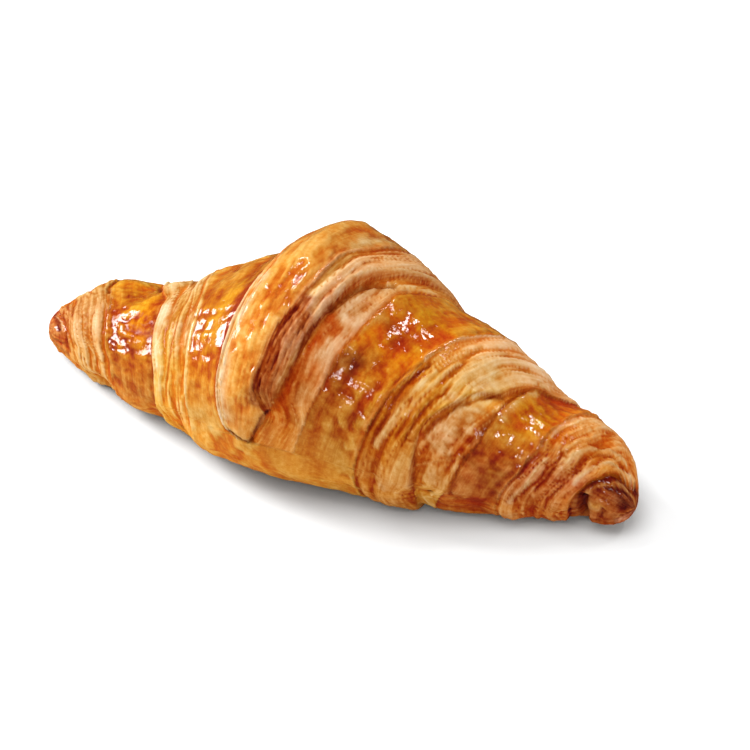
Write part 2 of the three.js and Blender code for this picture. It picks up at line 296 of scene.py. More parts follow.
# ------------------------------------------------------------------- finer relief
blister = Noise(21, 1.1, 2.4)
blister2 = Noise(22, 2.2, 5.0)
crinkle = Noise(23, 0.7, 2.6)
swell = Noise(24, 5.0, 12.0)
FACE = np.zeros_like(X)       # the steep faces of the steps, painted reddish brown: browned crust and painted shade under the lips
RIM_LIGHT_AND_SHADE = np.zeros_like(X)        # signed tone at the torn rims: < 0 painted shade just outside the rim, > 0 pale crest, partly painted highlight

for side in (1, -1):
    O = X * side
    on = out_side == side
    for turn in range(TURNS):
        alive_ = (PHI - 360.0 * turn) <= FLAP
        ee, jj, ss = E_POS[side, turn], J_POS[side, turn], S_POS[side, turn]
        dE, dJ, dS = O - ee, O - jj, O - ss
        k = np.where(alive_ & on, 1.0, 0.0)
        amp = ([1.0, 0.9, 0.8, 0.5] if side > 0 else [0.2, 0.6, 0.6, 0.5])[turn]
        deep = ([1.0, 0.35, 0.6, 0.4] if side > 0 else [0.3, 0.5, 0.5, 0.4])[turn]
        if side > 0 and turn == 0:                       # the flap's foot lies flat and merges
            deep = 1 - 0.8 * smooth(126, 146, PHI)
            amp = (1 - 0.6 * smooth(150, 164, PHI)) * (1 - 0.4 * smooth(108, 122, PHI))
        ragged = 1 + 0.5 * rag(X + 7 * turn, PHI)
        rim = np.exp(-((dE + 0.35) / 0.5) ** 2)          # rim of the torn skin
        D += k * 0.25 * amp * ragged * rim
        browned = np.maximum(browned, k * rim * amp)
        # pale crest of the rim, partly painted highlight; painted shade just outside it
        RIM_LIGHT_AND_SHADE += k * amp * (0.7 * np.exp(-((dE + 0.15) / 0.22) ** 2) * np.clip(0.5 + 0.7 * rag2(X * 0 + 91.0 * turn + 7 * side, PHI), 0, 1.2) - 0.75 * np.exp(-((dE - 0.55) / 0.45) ** 2))
        D -= k * 0.3 * amp * np.exp(-np.maximum(dE, 0) / 2.2) * (1 / (1 + np.exp(-dE / 0.2)))
        crack = np.exp(-(dJ / 0.4) ** 2)                 # where the cut edge meets the next skin
        crack_shade_and_glow = np.maximum(crack_shade_and_glow, k * crack * deep)
        D -= k * 0.45 * deep * crack
        AX += side * k * 0.35 * amp * np.exp(-((dS + 0.5) / 0.7) ** 2)
        if turn < 3:
            FACE = np.maximum(FACE, k * amp * np.exp(-((dS + 0.05) / 0.42) ** 2))

def near(x0, d0, rx, rd):
    return np.exp(-(((X - x0) / rx) ** 2) - (((PHI - d0) / rd) ** 2))


def blur(v, rings, spokes):
    for axis, n in ((0, rings), (1, spokes)):
        kern = np.exp(-0.5 * (np.arange(-3 * n, 3 * n + 1) / n) ** 2)
        kern /= kern.sum()
        w = np.pad(v, [(3 * n, 3 * n) if axis == 0 else (0, 0), (3 * n, 3 * n) if axis == 1 else (0, 0)], mode="edge" if axis == 0 else "wrap")
        v = sum(kern[i] * (w[i : i + v.shape[0], :] if axis == 0 else w[:, i : i + v.shape[1]]) for i in range(len(kern)))
    return v


# places where one sheet lies open and smooth
CALM = np.clip(sum(near(*q) for q in [(44.5, 98, 4.5, 15), (44.8, 134, 3.2, 17), (40.5, 155, 2.8, 11), (41, 176, 3.4, 9), (33.6, 174, 2.4, 16), (14.2, 112, 3.2, 18), (10.5, 150, 3.4, 17), (-43, 78, 3, 12), (-38.6, 116, 2.4, 13), (57, 100, 3, 20), (-66, 110, 3, 20)]), 0, 1)

# laminated edges: stacked thin sheets, ridges running round the roll
stack_a = Noise(31, 1.3, 22.0, deg_span=1440.0, nd=1440)
stack_b = Noise(32, 0.55, 15.0, deg_span=1440.0, nd=1440)
stack_c = Noise(33, 0.30, 8.0, deg_span=1440.0, nd=1440)
stack_d = Noise(34, 0.42, 10.0, deg_span=1440.0, nd=1440)
stack_e = Noise(35, 0.42, 12.0, deg_span=1440.0, nd=1440)
sa, sb, sc, sd, se = (n(Q, UNW) for n in (stack_a, stack_b, stack_c, stack_d, stack_e))
groove = np.exp(-(sd / 0.22) ** 2)        # thin gaps between sheets
crest = np.exp(-(se / 0.22) ** 2)         # thin sheet edges, painted pale: painted light
sheets = 0.45 * sa + 0.5 * sb + 0.35 * sc
fall = smooth(0, 0.10, lam_t) * (1 - smooth(0.94, 1.0, lam_t)) * (1 - 0.75 * CALM)
D += lam * fall * (0.22 * sa + 0.16 * sb + 0.08 * sc + 0.16 * crest - 0.22 * groove)

# glazed skins: blisters, dents and fine crinkles
bl = blister(XS, PHI)
bl2 = blister2(XS, PHI)
cr = crinkle(XS, PHI)
fold = Noise(25, 0.9, 9.0, deg_span=1440.0, nd=1440)(Q, UNW)       # shallow folds along the strip
seam = np.exp(-(((X - centre_x) / 3.5) ** 2)) * (LAYER != 6)       # where the two halves of the roll meet
fold = fold * (1 - seam)
D += skin * (0.10 * np.maximum(bl, 0) + 0.09 * bl2 - 0.06 * np.abs(cr) + 0.07 * fold)
D += 0.20 * swell(X, PHI)
D += 0.20 * low(X, PHI)

# ------------------------------------------------------------------- single features
def lin(r, g, b):
    c = np.array([r, g, b], float) / 255.0
    return np.where(c <= 0.04045, c / 12.92, ((c + 0.055) / 1.055) ** 2.4)


AMBER, ORANGE, PALE, TAN = lin(220, 132, 14), lin(204, 98, 10), lin(238, 190, 118), lin(226, 156, 74)
BROWN, DARK, RED = lin(172, 78, 22), lin(124, 42, 8), lin(148, 52, 16)
# PINK_AND_HIGHLIGHT is a pale crust tone laid on ridges where glints fall: partly painted highlight
SOLE, GOLD, PINK_AND_HIGHLIGHT, CREAM = lin(178, 100, 42), lin(234, 166, 50), lin(234, 176, 128), lin(243, 206, 150)
PAINT = []                     # (mask, colour) in the order of painting
SHADE = np.zeros_like(X)       # browning: < 0 darker and redder, > 0 paler and yellower
GLOSS = np.zeros_like(X)       # local change of glaze
grain = Noise(51, 0.9, 2.6)(XS, PHI)
wander = Noise(52, 1.6, 6.0)(X, PHI)


def line(points, wl, wr, colour=None, k=1.0, h=0.0, hw=None, gloss=0.0, fade=4.0):
    """A line across the roll through points (x, phi): wl and wr are its widths towards -x and +x."""
    global D, GLOSS
    f = curve([(p, x) for x, p in points])
    lo, hi = min(p for _, p in points), max(p for _, p in points)
    dx = X - f(np.clip(PHI, lo, hi)) + 0.16 * wander
    win = window(PHI, lo, hi, fade)
    m = win * np.exp(-(dx / np.where(dx < 0, wl, wr)) ** 2)
    if colour is not None:
        PAINT.append((m * k, colour))
    if h:
        w = hw or 0.5 * (wl + wr)
        D = D + h * win * np.exp(-(dx / w) ** 2)
    GLOSS = GLOSS + gloss * m


def cross(points, w, colour=None, k=1.0, h=0.0, fade=0.8):
    """A line along the roll through points (x, phi), w in mm."""
    global D
    f = curve([(x, p) for x, p in points])
    lo, hi = min(x for x, _ in points), max(x for x, _ in points)
    dy = (PHI - f(np.clip(X, lo, hi))) * ARC
    m = window(X, lo, hi, fade) * np.exp(-(dy / w) ** 2)
    if colour is not None:
        PAINT.append((m * k, colour))
    if h:
        D = D + h * m


def patch(x0, p0, rx, rp, colour=None, k=1.0, h=0.0, slant=0.0, gloss=0.0, edge=2.0, rough=0.35):
    """A blotch with radii rx mm and rp degrees; slant is mm of x per degree."""
    global D, GLOSS
    q = ((X - x0 - slant * (PHI - p0)) / rx) ** 2 + ((PHI - p0) / rp) ** 2
    m = np.exp(-(q * np.exp(rough * grain)) ** (edge / 2))
    if colour is not None:
        PAINT.append((m * k, colour))
    if h:
        D = D + h * np.exp(-q ** (edge / 2))
    GLOSS = GLOSS + gloss * m


# -- middle: the flap, its cut face and the hollow beside it
patch(-4, 110, 5, 26, GOLD, 0.35, rough=0.6)
patch(-3, 160, 5, 16, AMBER, 0.5)
patch(-2, 175, 4, 8, ORANGE, 0.5)
patch(-9, 135, 2.2, 40, TAN, 0.3)
line([(7.5, 60), (6.5, 80), (6, 95), (5.5, 108), (5.2, 118)], 2.4, 2.2, PALE, 0.75, gloss=-0.3)
line([(2.5, 88), (4.5, 98), (4.3, 108), (3.6, 116)], 0.5, 0.5, RED, 0.35)
line([(5.2, 116), (4.5, 130), (3.4, 140), (2.8, 150), (1.8, 160), (1.4, 165)], 3.0, 3.0, lin(158, 68, 22), 0.92, gloss=-0.5, fade=3.0)
for i in range(9):
    o = -2.4 + 0.62 * i + 0.25 * math.sin(2.1 * i)
    line([(5.6 + o, 118 + i % 3), (4.0 + o, 134), (2.6 + o, 149 - i % 4), (1.2 + o, 163)], 0.16, 0.2, (lin(204, 112, 46), DARK)[i % 2], 0.55, h=(0.12, -0.14)[i % 2], hw=0.22)
line([(3.6, 122), (2.2, 132), (1.2, 141), (0.6, 150), (-0.4, 160)], 0.9, 0.7, DARK, 0.35, h=-0.15)
line([(7.0, 124), (6.0, 133), (5.0, 143), (4.2, 152), (3.0, 161)], 0.3, 0.5, DARK, 0.45, h=-0.2)
patch(0.4, 161, 2.6, 3.5, DARK, 0.4)
line([(9.8, 118), (9.4, 126), (8.3, 134), (6.8, 143), (6.0, 152), (5.0, 163)], 0.6, 0.6, TAN, 0.7, h=0.25)
# dark line and orange pocket in the crevice under the crest: painted shade in the fold
line([(17.4, 85.5), (15.5, 89), (14, 92), (12.4, 96), (11.0, 102), (10.3, 108), (9.6, 114)], 0.5, 1.1, DARK, 0.8, h=-0.9, hw=0.8)
line([(9.6, 114), (8.8, 122), (8.0, 130), (6.9, 140)], 0.5, 0.6, DARK, 0.55, h=-0.35)
patch(15.5, 90, 3.0, 6, ORANGE, 0.5, h=-0.7, slant=-0.25)
line([(20.8, 57), (19.3, 65), (18.1, 71), (16.6, 77), (15.1, 83), (13.1, 87.5), (11.3, 93.5), (10.1, 99), (9.2, 107)], 0.4, 0.3, lin(236, 190, 124), 0.75, h=0.3, hw=0.45)
patch(13.6, 115, 4.4, 24, lin(232, 172, 112), 0.85, slant=-0.06, gloss=-0.6, rough=0.5)
patch(10.5, 152, 4.2, 16, lin(206, 130, 62), 0.75, slant=-0.09, gloss=-0.5)
patch(8.5, 160, 2.5, 12, BROWN, 0.35, slant=-0.09)
# dark lines in the crevices round the flap's tip: painted shade
line([(3.6, 167.5), (2.5, 171), (1.6, 175), (0.6, 179), (-0.6, 182)], 0.3, 0.4, lin(112, 34, 8), 0.85, h=-0.5, hw=0.5, fade=1.2)
cross([(-8.0, 181.2), (-5, 182), (-2, 183.2), (-0.4, 182.4)], 0.4, lin(110, 34, 10), 0.85, h=-0.7)
# -- the ridge where the next skin begins, and that skin
line([(20.4, 82), (19.2, 90), (18.6, 99), (17.7, 109), (16.9, 118), (16.0, 126)], 0.7, 0.6, RED, 0.55, h=0.35)
line([(16.0, 126), (15.0, 134), (14.2, 143), (13.4, 152), (12.6, 161), (11.6, 170), (10.4, 180)], 0.35, 0.9, RED, 0.55, h=0.25)
patch(24.5, 92, 6, 17, AMBER, 0.8, gloss=0.2)
patch(29.5, 84, 4, 8, lin(232, 148, 8), 0.7)
patch(26.5, 108, 3.5, 9, ORANGE, 0.55)
patch(18.2, 133, 2.7, 13, lin(134, 44, 6), 0.85, slant=-0.07, gloss=0.1)
patch(15.8, 150, 1.8, 12, BROWN, 0.7, slant=-0.09)
patch(24, 128, 3, 14, ORANGE, 0.45)
patch(19, 172, 6, 18, lin(218, 146, 62), 0.65, slant=-0.1)
line([(27.6, 131), (26.6, 137), (25.4, 143), (24.1, 151), (22.8, 160)], 0.6, 0.5, GOLD, 0.5, h=0.35, hw=0.6)
line([(22.5, 135), (21.8, 143), (20.8, 151), (19.5, 160)], 0.7, 0.6, GOLD, 0.4, h=0.3)
# pale pink ridge, partly painted highlight
line([(41, 62), (39.8, 69), (38.3, 76), (36.9, 83), (35.4, 89), (34.0, 95), (33.2, 101), (32.3, 108)], 0.45, 0.45, PINK_AND_HIGHLIGHT, 0.6, h=0.25)
line([(39.0, 60), (37.9, 68), (36.6, 76), (35.0, 84)], 0.8, 0.5, RED, 0.4)
line([(31.7, 113), (30.0, 121), (28.6, 129), (27.6, 137), (26.8, 145), (26.0, 153), (25.0, 162), (23.8, 171)], 0.4, 0.5, lin(146, 64, 14), 0.65, h=-0.22, hw=0.5)
# -- second laminated edge and the fold hanging over it
line([(33.4, 112), (31.7, 120), (30.4, 129), (29.4, 138), (28.7, 147), (27.8, 156), (26.8, 165)], 0.4, 0.4, BROWN, 0.75, h=-0.35, hw=0.4)
line([(35.2, 114), (33.5, 122), (32.0, 131), (30.9, 140), (30.0, 149), (29.0, 158), (27.8, 166)], 0.6, 0.8, PALE, 0.85, h=0.4, hw=0.7)
line([(39.4, 100), (38.2, 108), (36.9, 116), (35.8, 124), (34.7, 132), (33.7, 140), (32.7, 148), (31.7, 157)], 0.35, 0.6, ORANGE, 0.55, h=-0.3, hw=0.45)
line([(37.6, 120), (36.4, 129), (35.5, 137), (34.4, 146), (33.3, 156)], 0.5, 0.4, GOLD, 0.6, h=0.25)
line([(36.8, 131), (35.6, 140), (34.6, 150), (33.8, 160)], 0.3, 0.3, BROWN, 0.5, h=-0.2)
patch(44.5, 98, 5.5, 15, lin(238, 188, 116), 0.8, slant=-0.13, gloss=-0.6)
patch(47.5, 76, 3.2, 8, AMBER, 0.65, slant=-0.2)
line([(40.3, 84), (39.8, 92), (39.3, 101), (38.6, 110)], 0.5, 0.6, lin(224, 144, 40), 0.55, h=-0.2)
line([(59, 56), (57.2, 65), (55.6, 73), (54.0, 79.5), (52.6, 85), (51.2, 90.5), (49.9, 97)], 0.3, 0.3, lin(196, 100, 40), 0.75, h=0.35, hw=0.5)
line([(49.6, 99), (48.2, 105), (46.4, 109.5), (44.4, 114), (42.9, 119), (41.7, 124), (40.2, 129), (38.7, 134.5), (37.5, 140), (36.7, 146), (36.3, 153), (36.2, 162), (36.3, 170)], 0.9, 0.0001, GOLD, 0.6, h=0.15, hw=0.7)
# brown band under the fold's lip: painted shadow
line([(48.6, 104.5), (46.6, 111), (44.6, 117.5), (43.0, 123.5), (41.4, 130), (39.6, 137), (38.3, 144), (37.4, 152)], 0.4, 0.9, lin(170, 84, 24), 0.75, h=-0.35, hw=0.8)
line([(41.2, 131), (39.6, 136), (38.2, 141), (37.4, 147)], 0.3, 0.3, GOLD, 0.6, h=0.25)
patch(44.8, 134, 3.2, 19, lin(222, 158, 92), 0.75, slant=-0.06, gloss=-0.7, rough=0.8)
patch(40.3, 155, 2.8, 11, lin(218, 152, 84), 0.75, slant=-0.05, gloss=-0.7, rough=0.8)
cross([(36.6, 172.5), (38.2, 169.8), (40, 167), (42, 163.6), (44, 161.4), (45.6, 158), (47.4, 153)], 0.35, lin(206, 112, 36), 0.7, h=0.3)
patch(41.2, 176, 3.6, 8, lin(230, 170, 104), 0.75, gloss=-0.6)
patch(33.6, 174, 2.3, 15, lin(222, 160, 78), 0.65, h=0.3, slant=-0.05, gloss=-0.3, rough=0.15)
line([(36.4, 160), (36.5, 170), (36.2, 180), (35.4, 190)], 0.4, 0.4, lin(196, 110, 40), 0.6, h=-0.3)
# black spot in a small hole: painted shade
line([(39.9, 188.5), (39.3, 191), (38.6, 194)], 0.35, 0.35, lin(84, 34, 12), 0.9, h=-0.4, fade=1.0)
# -- junction with the third skin
# pale pink ridge, partly painted highlight
line([(54.8, 76), (53.8, 84), (52.9, 91), (52.3, 98), (51.8, 106), (51.5, 114), (51.4, 120)], 0.9, 0.6, PINK_AND_HIGHLIGHT, 0.6, h=0.3)
line([(52.2, 90), (51.0, 98), (50.4, 106), (50.0, 114)], 0.35, 0.35, RED, 0.5, h=-0.3)
# dark band on the third skin where the laminated edge meets it: painted shade
line([(49.8, 118), (49.4, 126), (49.0, 134), (48.7, 142), (48.1, 150), (47.0, 158)], 1.4, 2.2, lin(150, 58, 8), 0.75, h=-0.2, hw=0.9)
line([(47.0, 158), (45.9, 167), (44.8, 177), (44.0, 188)], 0.5, 0.7, BROWN, 0.7, h=-0.35)
patch(57, 100, 4.5, 24, lin(224, 136, 12), 0.85, gloss=0.2, slant=-0.04)
patch(58.5, 82, 3.0, 7, ORANGE, 0.6)
patch(60, 116, 1.8, 14, ORANGE, 0.5)
patch(54, 140, 4.5, 16, lin(196, 96, 14), 0.6, slant=-0.05)
patch(51.5, 172, 5.5, 20, lin(170, 76, 26), 0.7, slant=-0.08, gloss=-0.2)
line([(52.2, 160), (52.6, 170), (52.8, 178)], 0.5, 0.7, lin(214, 130, 50), 0.5)
line([(65.2, 68), (64.4, 77), (63.1, 86), (62.3, 95), (61.6, 105), (61.0, 114)], 0.6, 0.4, RED, 0.5, h=0.3)
# pale pink ridge, partly painted highlight
line([(64.9, 80), (63.8, 88), (63.0, 95), (62.4, 104), (61.9, 113)], 0.35, 0.5, PINK_AND_HIGHLIGHT, 0.55, h=0.2)
line([(60.7, 121), (60.1, 130), (59.4, 138), (58.6, 146), (57.6, 155), (56.6, 164), (55.5, 173), (54.4, 183)], 0.9, 0.5, lin(132, 40, 12), 0.8, h=0.25)
# -- third laminated edge
patch(66, 140, 6, 45, lin(222, 156, 82), 0.45, slant=-0.1)
line([(62.6, 137), (61.6, 145), (60.8, 152), (60.0, 161), (58.6, 172), (57.0, 184)], 0.4, 0.6, PALE, 0.7, h=0.35)
line([(77.4, 70), (75.6, 79), (74.0, 86), (72.4, 93), (70.9, 100), (69.7, 107), (68.7, 114), (67.8, 122), (67.0, 131)], 0.4, 0.7, PALE, 0.7, h=0.28)
line([(76.2, 74), (74.9, 82), (73.2, 89), (71.6, 97), (70.3, 104)], 0.9, 0.3, ORANGE, 0.5)
line([(78.0, 76), (76.6, 84), (74.9, 92), (73.3, 100), (71.9, 108), (70.7, 117), (69.7, 126), (68.9, 136)], 0.8, 0.8, lin(206, 114, 34), 0.7, h=-0.3)
line([(79.4, 74), (78.2, 84), (76.9, 94), (75.5, 103), (74.2, 111), (73.1, 119), (72.1, 127), (71.2, 135), (70.5, 143), (69.8, 151)], 0.4, 0.5, lin(232, 180, 110), 0.75, h=0.28)
line([(69.6, 138), (68.6, 148), (67.4, 158), (66.0, 170)], 0.3, 0.4, BROWN, 0.45, h=-0.2)
line([(66.2, 122), (65.6, 132), (64.6, 143), (63.4, 155), (61.8, 168)], 0.3, 0.4, BROWN, 0.4, h=-0.2)
# -- right tip: dark rolled end
line([(80.9, 74), (79.9, 86), (78.8, 95), (77.6, 104), (76.5, 112), (75.4, 120), (74.3, 128), (73.2, 137), (72.1, 146), (71.0, 156), (70.2, 166)], 0.4, 1.2, lin(150, 54, 16), 0.8, h=-0.4, hw=0.7, gloss=-0.5)
patch(78.2, 112, 1.6, 22, lin(158, 60, 18), 0.7, slant=-0.085, gloss=-0.5)
line([(81.2, 92), (80.2, 102), (79.0, 112), (77.9, 121), (76.5, 131), (75.0, 140), (73.7, 149), (72.6, 159)], 0.35, 0.35, lin(216, 134, 70), 0.75, h=0.5, hw=0.5)
line([(81.4, 104), (80.2, 114), (79.0, 123), (77.7, 132), (76.2, 141)], 0.3, 1.0, lin(120, 34, 14), 0.75, h=-0.4)
patch(80.6, 142, 2.6, 26, lin(104, 42, 32), 0.8, h=-0.4)
patch(76, 172, 3.2, 20, lin(192, 98, 42), 0.6)
line([(79.5, 178), (79.2, 190), (78.8, 204)], 0.8, 0.8, lin(140, 54, 24), 0.6)
line([(76.5, 176), (76.2, 190), (75.8, 205)], 0.5, 0.8, lin(130, 44, 16), 0.6, h=-0.3)
patch(60, 186, 14, 12, lin(186, 98, 40), 0.4, gloss=-0.3)
# -- left half
line([(-10.2, 108), (-10.6, 116), (-10.8, 126), (-10.9, 136), (-10.6, 148), (-10.2, 158), (-9.6, 168), (-8.6, 176)], 1.0, 1.9, lin(246, 212, 162), 0.85, gloss=-0.4)
# thin orange-brown line in the crack outside the flap's left rim: painted shadow
line([(-11.9, 112), (-12.1, 122), (-12.2, 134), (-11.9, 147), (-11.5, 158), (-10.9, 168)], 0.3, 0.3, lin(176, 84, 18), 0.35)
patch(-19, 115, 7, 30, AMBER, 0.75, gloss=0.2)
patch(-25.4, 107, 1.8, 6, lin(186, 78, 4), 0.75)
patch(-19, 85, 7, 10, lin(206, 112, 30), 0.6, slant=0.15)
patch(-17, 165, 5, 10, ORANGE, 0.4)
patch(-18, 184, 8, 12, lin(226, 160, 84), 0.6)
line([(-31.6, 88), (-29.9, 97), (-28.7, 105), (-27.6, 113), (-26.8, 121), (-26.1, 129), (-25.3, 138), (-24.4, 147), (-23.5, 157), (-22.8, 167), (-22.3, 177)], 0.6, 0.5, lin(242, 200, 130), 0.75, h=0.3, gloss=-0.3)
# pale pink patch on the rough stripes: pale crumb, partly painted highlight
patch(-28.6, 134, 2.6, 14, lin(246, 214, 176), 0.6, slant=0.1, gloss=-0.2)
patch(-29, 165, 4, 22, lin(238, 176, 84), 0.6, slant=0.06)
line([(-37.5, 80), (-35.6, 90), (-34.2, 100), (-33.2, 110), (-32.4, 120), (-31.5, 130), (-30.7, 141), (-30.0, 152), (-29.7, 164)], 0.4, 0.4, lin(206, 120, 40), 0.65, h=-0.3)
line([(-34.6, 76), (-32.8, 86), (-31.2, 96), (-30.0, 106), (-29.0, 116)], 0.4, 0.4, lin(206, 116, 34), 0.6, h=-0.25)
patch(-38.6, 116, 2.6, 13, lin(246, 216, 170), 0.8, slant=0.1, gloss=-0.4, h=0.2)
patch(-35.2, 150, 1.6, 14, lin(244, 206, 150), 0.65, slant=0.12)
patch(-43.0, 78, 3.4, 12, lin(240, 196, 130), 0.8, slant=0.22, gloss=-0.4)
line([(-50.8, 62), (-49.2, 69), (-48.0, 76), (-46.7, 83), (-45.2, 89), (-43.2, 94), (-41.8, 100), (-41.3, 108), (-40.4, 116), (-39.7, 124), (-38.8, 133), (-38.0, 142), (-37.0, 150), (-35.9, 158), (-34.9, 166), (-34.4, 176), (-34.2, 188)], 0.6, 0.4, lin(190, 88, 14), 0.75)
patch(-48.5, 105, 6.5, 28, AMBER, 0.8, gloss=0.2, slant=0.04)
patch(-56.2, 93, 3.0, 6, lin(178, 78, 8), 0.8, h=0.3)
patch(-58.5, 82, 2.0, 5, lin(188, 84, 12), 0.6)
patch(-47.6, 118, 1.0, 4, lin(190, 80, 4), 0.7)
patch(-45.0, 133, 1.2, 4, lin(180, 72, 2), 0.7)
patch(-42, 165, 5, 14, lin(202, 100, 16), 0.65)
patch(-44, 186, 6, 10, lin(212, 128, 66), 0.6)
line([(-66.0, 62), (-65.0, 73), (-63.9, 83), (-62.3, 91), (-60.6, 99), (-59.6, 107), (-58.6, 115), (-57.6, 124), (-56.6, 133), (-55.6, 142), (-54.5, 151), (-53.2, 160), (-51.8, 169), (-50.9, 178)], 0.5, 0.5, lin(214, 134, 44), 0.4, h=0.2)
patch(-64, 125, 5.5, 40, lin(238, 190, 122), 0.5, slant=0.11, gloss=-0.4)
patch(-58, 165, 4, 14, lin(236, 178, 100), 0.5)
# left tip
patch(-76, 150, 4.5, 30, lin(206, 112, 56), 0.75, gloss=-0.2)
line([(-80.4, 108), (-79.2, 117), (-77.9, 126), (-76.6, 135), (-75.3, 144), (-73.8, 153)], 1.0, 1.2, lin(142, 46, 20), 0.8, h=-0.3)
line([(-76.5, 118), (-75.0, 126), (-73.2, 134), (-71.7, 142), (-70.4, 150), (-69.4, 158), (-68.6, 167), (-68.0, 177)], 0.7, 0.8, lin(164, 66, 12), 0.8, h=-0.3)
line([(-77.0, 94), (-75.6, 102), (-74.2, 110), (-72.6, 118)], 0.5, 0.6, lin(180, 84, 44), 0.6, h=-0.2)
line([(-78.0, 122), (-76.0, 131), (-74.0, 140), (-72.4, 149)], 0.4, 0.3, lin(240, 190, 140), 0.55, h=0.3)
patch(-71.5, 186, 1.5, 6, lin(170, 80, 30), 0.6, slant=0.2)
# dents that run along the roll on the left skins
dents = Noise(61, 3.2, 1.5)(X, PHI)
dents2 = Noise(62, 1.6, 1.8)(X, PHI)
D = D + 0.10 * dents2 * near(8, 186, 18, 10) + 0.16 * dents * near(-17, 135, 7, 18) + 0.10 * dents2 * (near(-49, 135, 9, 20) + near(-23, 132, 3, 12))
micro = Noise(63, 0.45, 1.3)(XS, PHI)
D = D + 0.075 * micro * skin * np.clip(0.45 + near(22, 140, 6, 20) + near(25, 100, 5, 14) + near(0, 105, 6, 18) + near(52, 95, 3, 25) + near(63, 90, 2, 12) + near(-51, 135, 6, 16) + 0.8 * near(-2, 145, 7, 34) + 0.7 * near(20, 175, 9, 14), 0, 1)
crumb = Noise(64, 0.55, 1.5)(XS, PHI)
CRUMBLY = np.clip(near(14.2, 112, 3.5, 20) + near(44.8, 134, 3.2, 18) + near(40.3, 155, 2.8, 10) + 0.5 * near(43.5, 98, 4, 14) + 0.6 * near(-28.6, 134, 2.2, 14), 0, 1)
D = D + 0.13 * crumb * CRUMBLY
# notches of the outline where the layers overlap
line([(-64.6, 56), (-64.3, 75), (-63.7, 86), (-62.2, 93)], 0.7, 0.5, RED, 0.45, h=-0.9, hw=0.8)
patch(-58, 72, 4.5, 14, h=0.6, rough=0)
line([(-51.6, 56), (-50.2, 68), (-48.6, 76), (-47.0, 83)], 0.7, 0.5, RED, 0.35, h=-0.6, hw=0.8)
patch(-44, 70, 3.2, 14, h=0.7, rough=0)
line([(-39.0, 56), (-38.2, 70), (-37.2, 82), (-36.0, 92)], 0.7, 0.5, ORANGE, 0.5, h=-0.9, hw=1.0)
# the right tip hangs clear of its neighbour
patch(78.2, 192, 3.8, 34, h=1.0, rough=0)
# dark line in the gap under the right tip: painted shadow
line([(71.6, 168), (71.9, 182), (72.0, 196), (72.0, 212), (72.0, 232)], 0.8, 0.9, DARK, 0.8, h=-2.3, hw=1.1, fade=8)
# the sheets run on under the foot of the flap
soft = window(PHI, 179, 192, 7) * window(X, 3.5, 17, 3)
D = D * (1 - soft) + blur(D, 1, 9) * soft
# glaze: thinner over the flap's left half, thicker where it pooled
patch(-6.0, 128, 4.0, 22, gloss=-0.55, rough=0)
patch(-17, 130, 6, 22, gloss=0.2, rough=0)
patch(78.5, 140, 7, 60, gloss=-0.45, rough=0)
patch(53.5, 104, 3.0, 9, gloss=-0.5, rough=0)
patch(59, 104, 2.5, 8, gloss=-0.35, rough=0)
patch(21, 150, 6, 14, gloss=-0.3, rough=0.6)
patch(27, 120, 5, 10, gloss=-0.3, rough=0.6)
patch(-45.5, 108, 3.6, 13, gloss=-1.1, rough=0.4, slant=0.05)
patch(1.5, 100, 4.0, 14, gloss=0.25, rough=0.6)
patch(-3.0, 160, 5.0, 16, gloss=0.2, rough=0.6)
patch(-80, 120, 4, 60, gloss=-0.6, rough=0)
patch(20, 154, 4.5, 15, lin(196, 108, 40), 0.55, slant=-0.08, rough=0.5)
patch(52, 96, 3.5, 18, lin(226, 138, 12), 0.4)
patch(60, 172, 8, 14, lin(170, 84, 34), 0.3)
patch(13, 108, 3.5, 14, lin(226, 160, 98), 0.5, slant=-0.06, rough=0.8)
patch(1, 84, 6, 10, lin(228, 152, 62), 0.4, rough=0.8)
patch(-46, 126, 4.2, 13, gloss=-1.5, rough=0.5)
patch(-41.5, 129, 2.6, 14, gloss=-1.1, rough=0.5)
patch(-55.3, 119, 1.8, 6, gloss=-1.2, rough=0.3)
patch(8, 184, 16, 9, lin(232, 168, 84), 0.3, rough=1.0)
patch(22, 178, 7, 9, lin(196, 112, 40), 0.35, rough=1.0)

# ----------------------------------------------------------------------------- surface
def sole_lift(u):
    t = np.clip((np.abs(u) - 0.62) / 0.38, 0, 1)
    return TIP_LIFT * t * t


def body(u, phi_deg, close, d, ax):
    b, top, bottom = half_width(u), height(u), sole_lift(u)
    mid = bottom + WIDEST_AT * np.maximum(top - bottom, 0.5)
    a = np.radians(phi_deg)
    c, s = np.cos(a), np.sin(a)
    y = b * np.sign(c) * np.abs(c) ** 0.95
    z = mid + np.where(s >= 0, (top - mid) * np.abs(s) ** 0.95, -(mid - bottom) * 1.10 * np.abs(s) ** 0.8)
    ny, nz = c / np.maximum(b, 1), s / np.maximum(np.where(s >= 0, top - mid, mid - bottom), 1)
    n = np.sqrt(ny * ny + nz * nz) + 1e-9
    cz = (top + bottom) / 2
    yy = (y + ny / n * d) * close + sway(u)
    zz = cz + (z + nz / n * d - cz) * close
    # the sole is pressed flat, with the layer cracks still showing in it
    sole = np.minimum(0.35 * np.maximum(-d, 0), 0.8)
    zz = np.maximum(zz, np.where(zz < 0, sole, 0))
    return np.stack([u * HALF + ax * close, yy + Y_SHIFT, zz], -1)


P = body(U, PHI, CLOSE, D, AX)
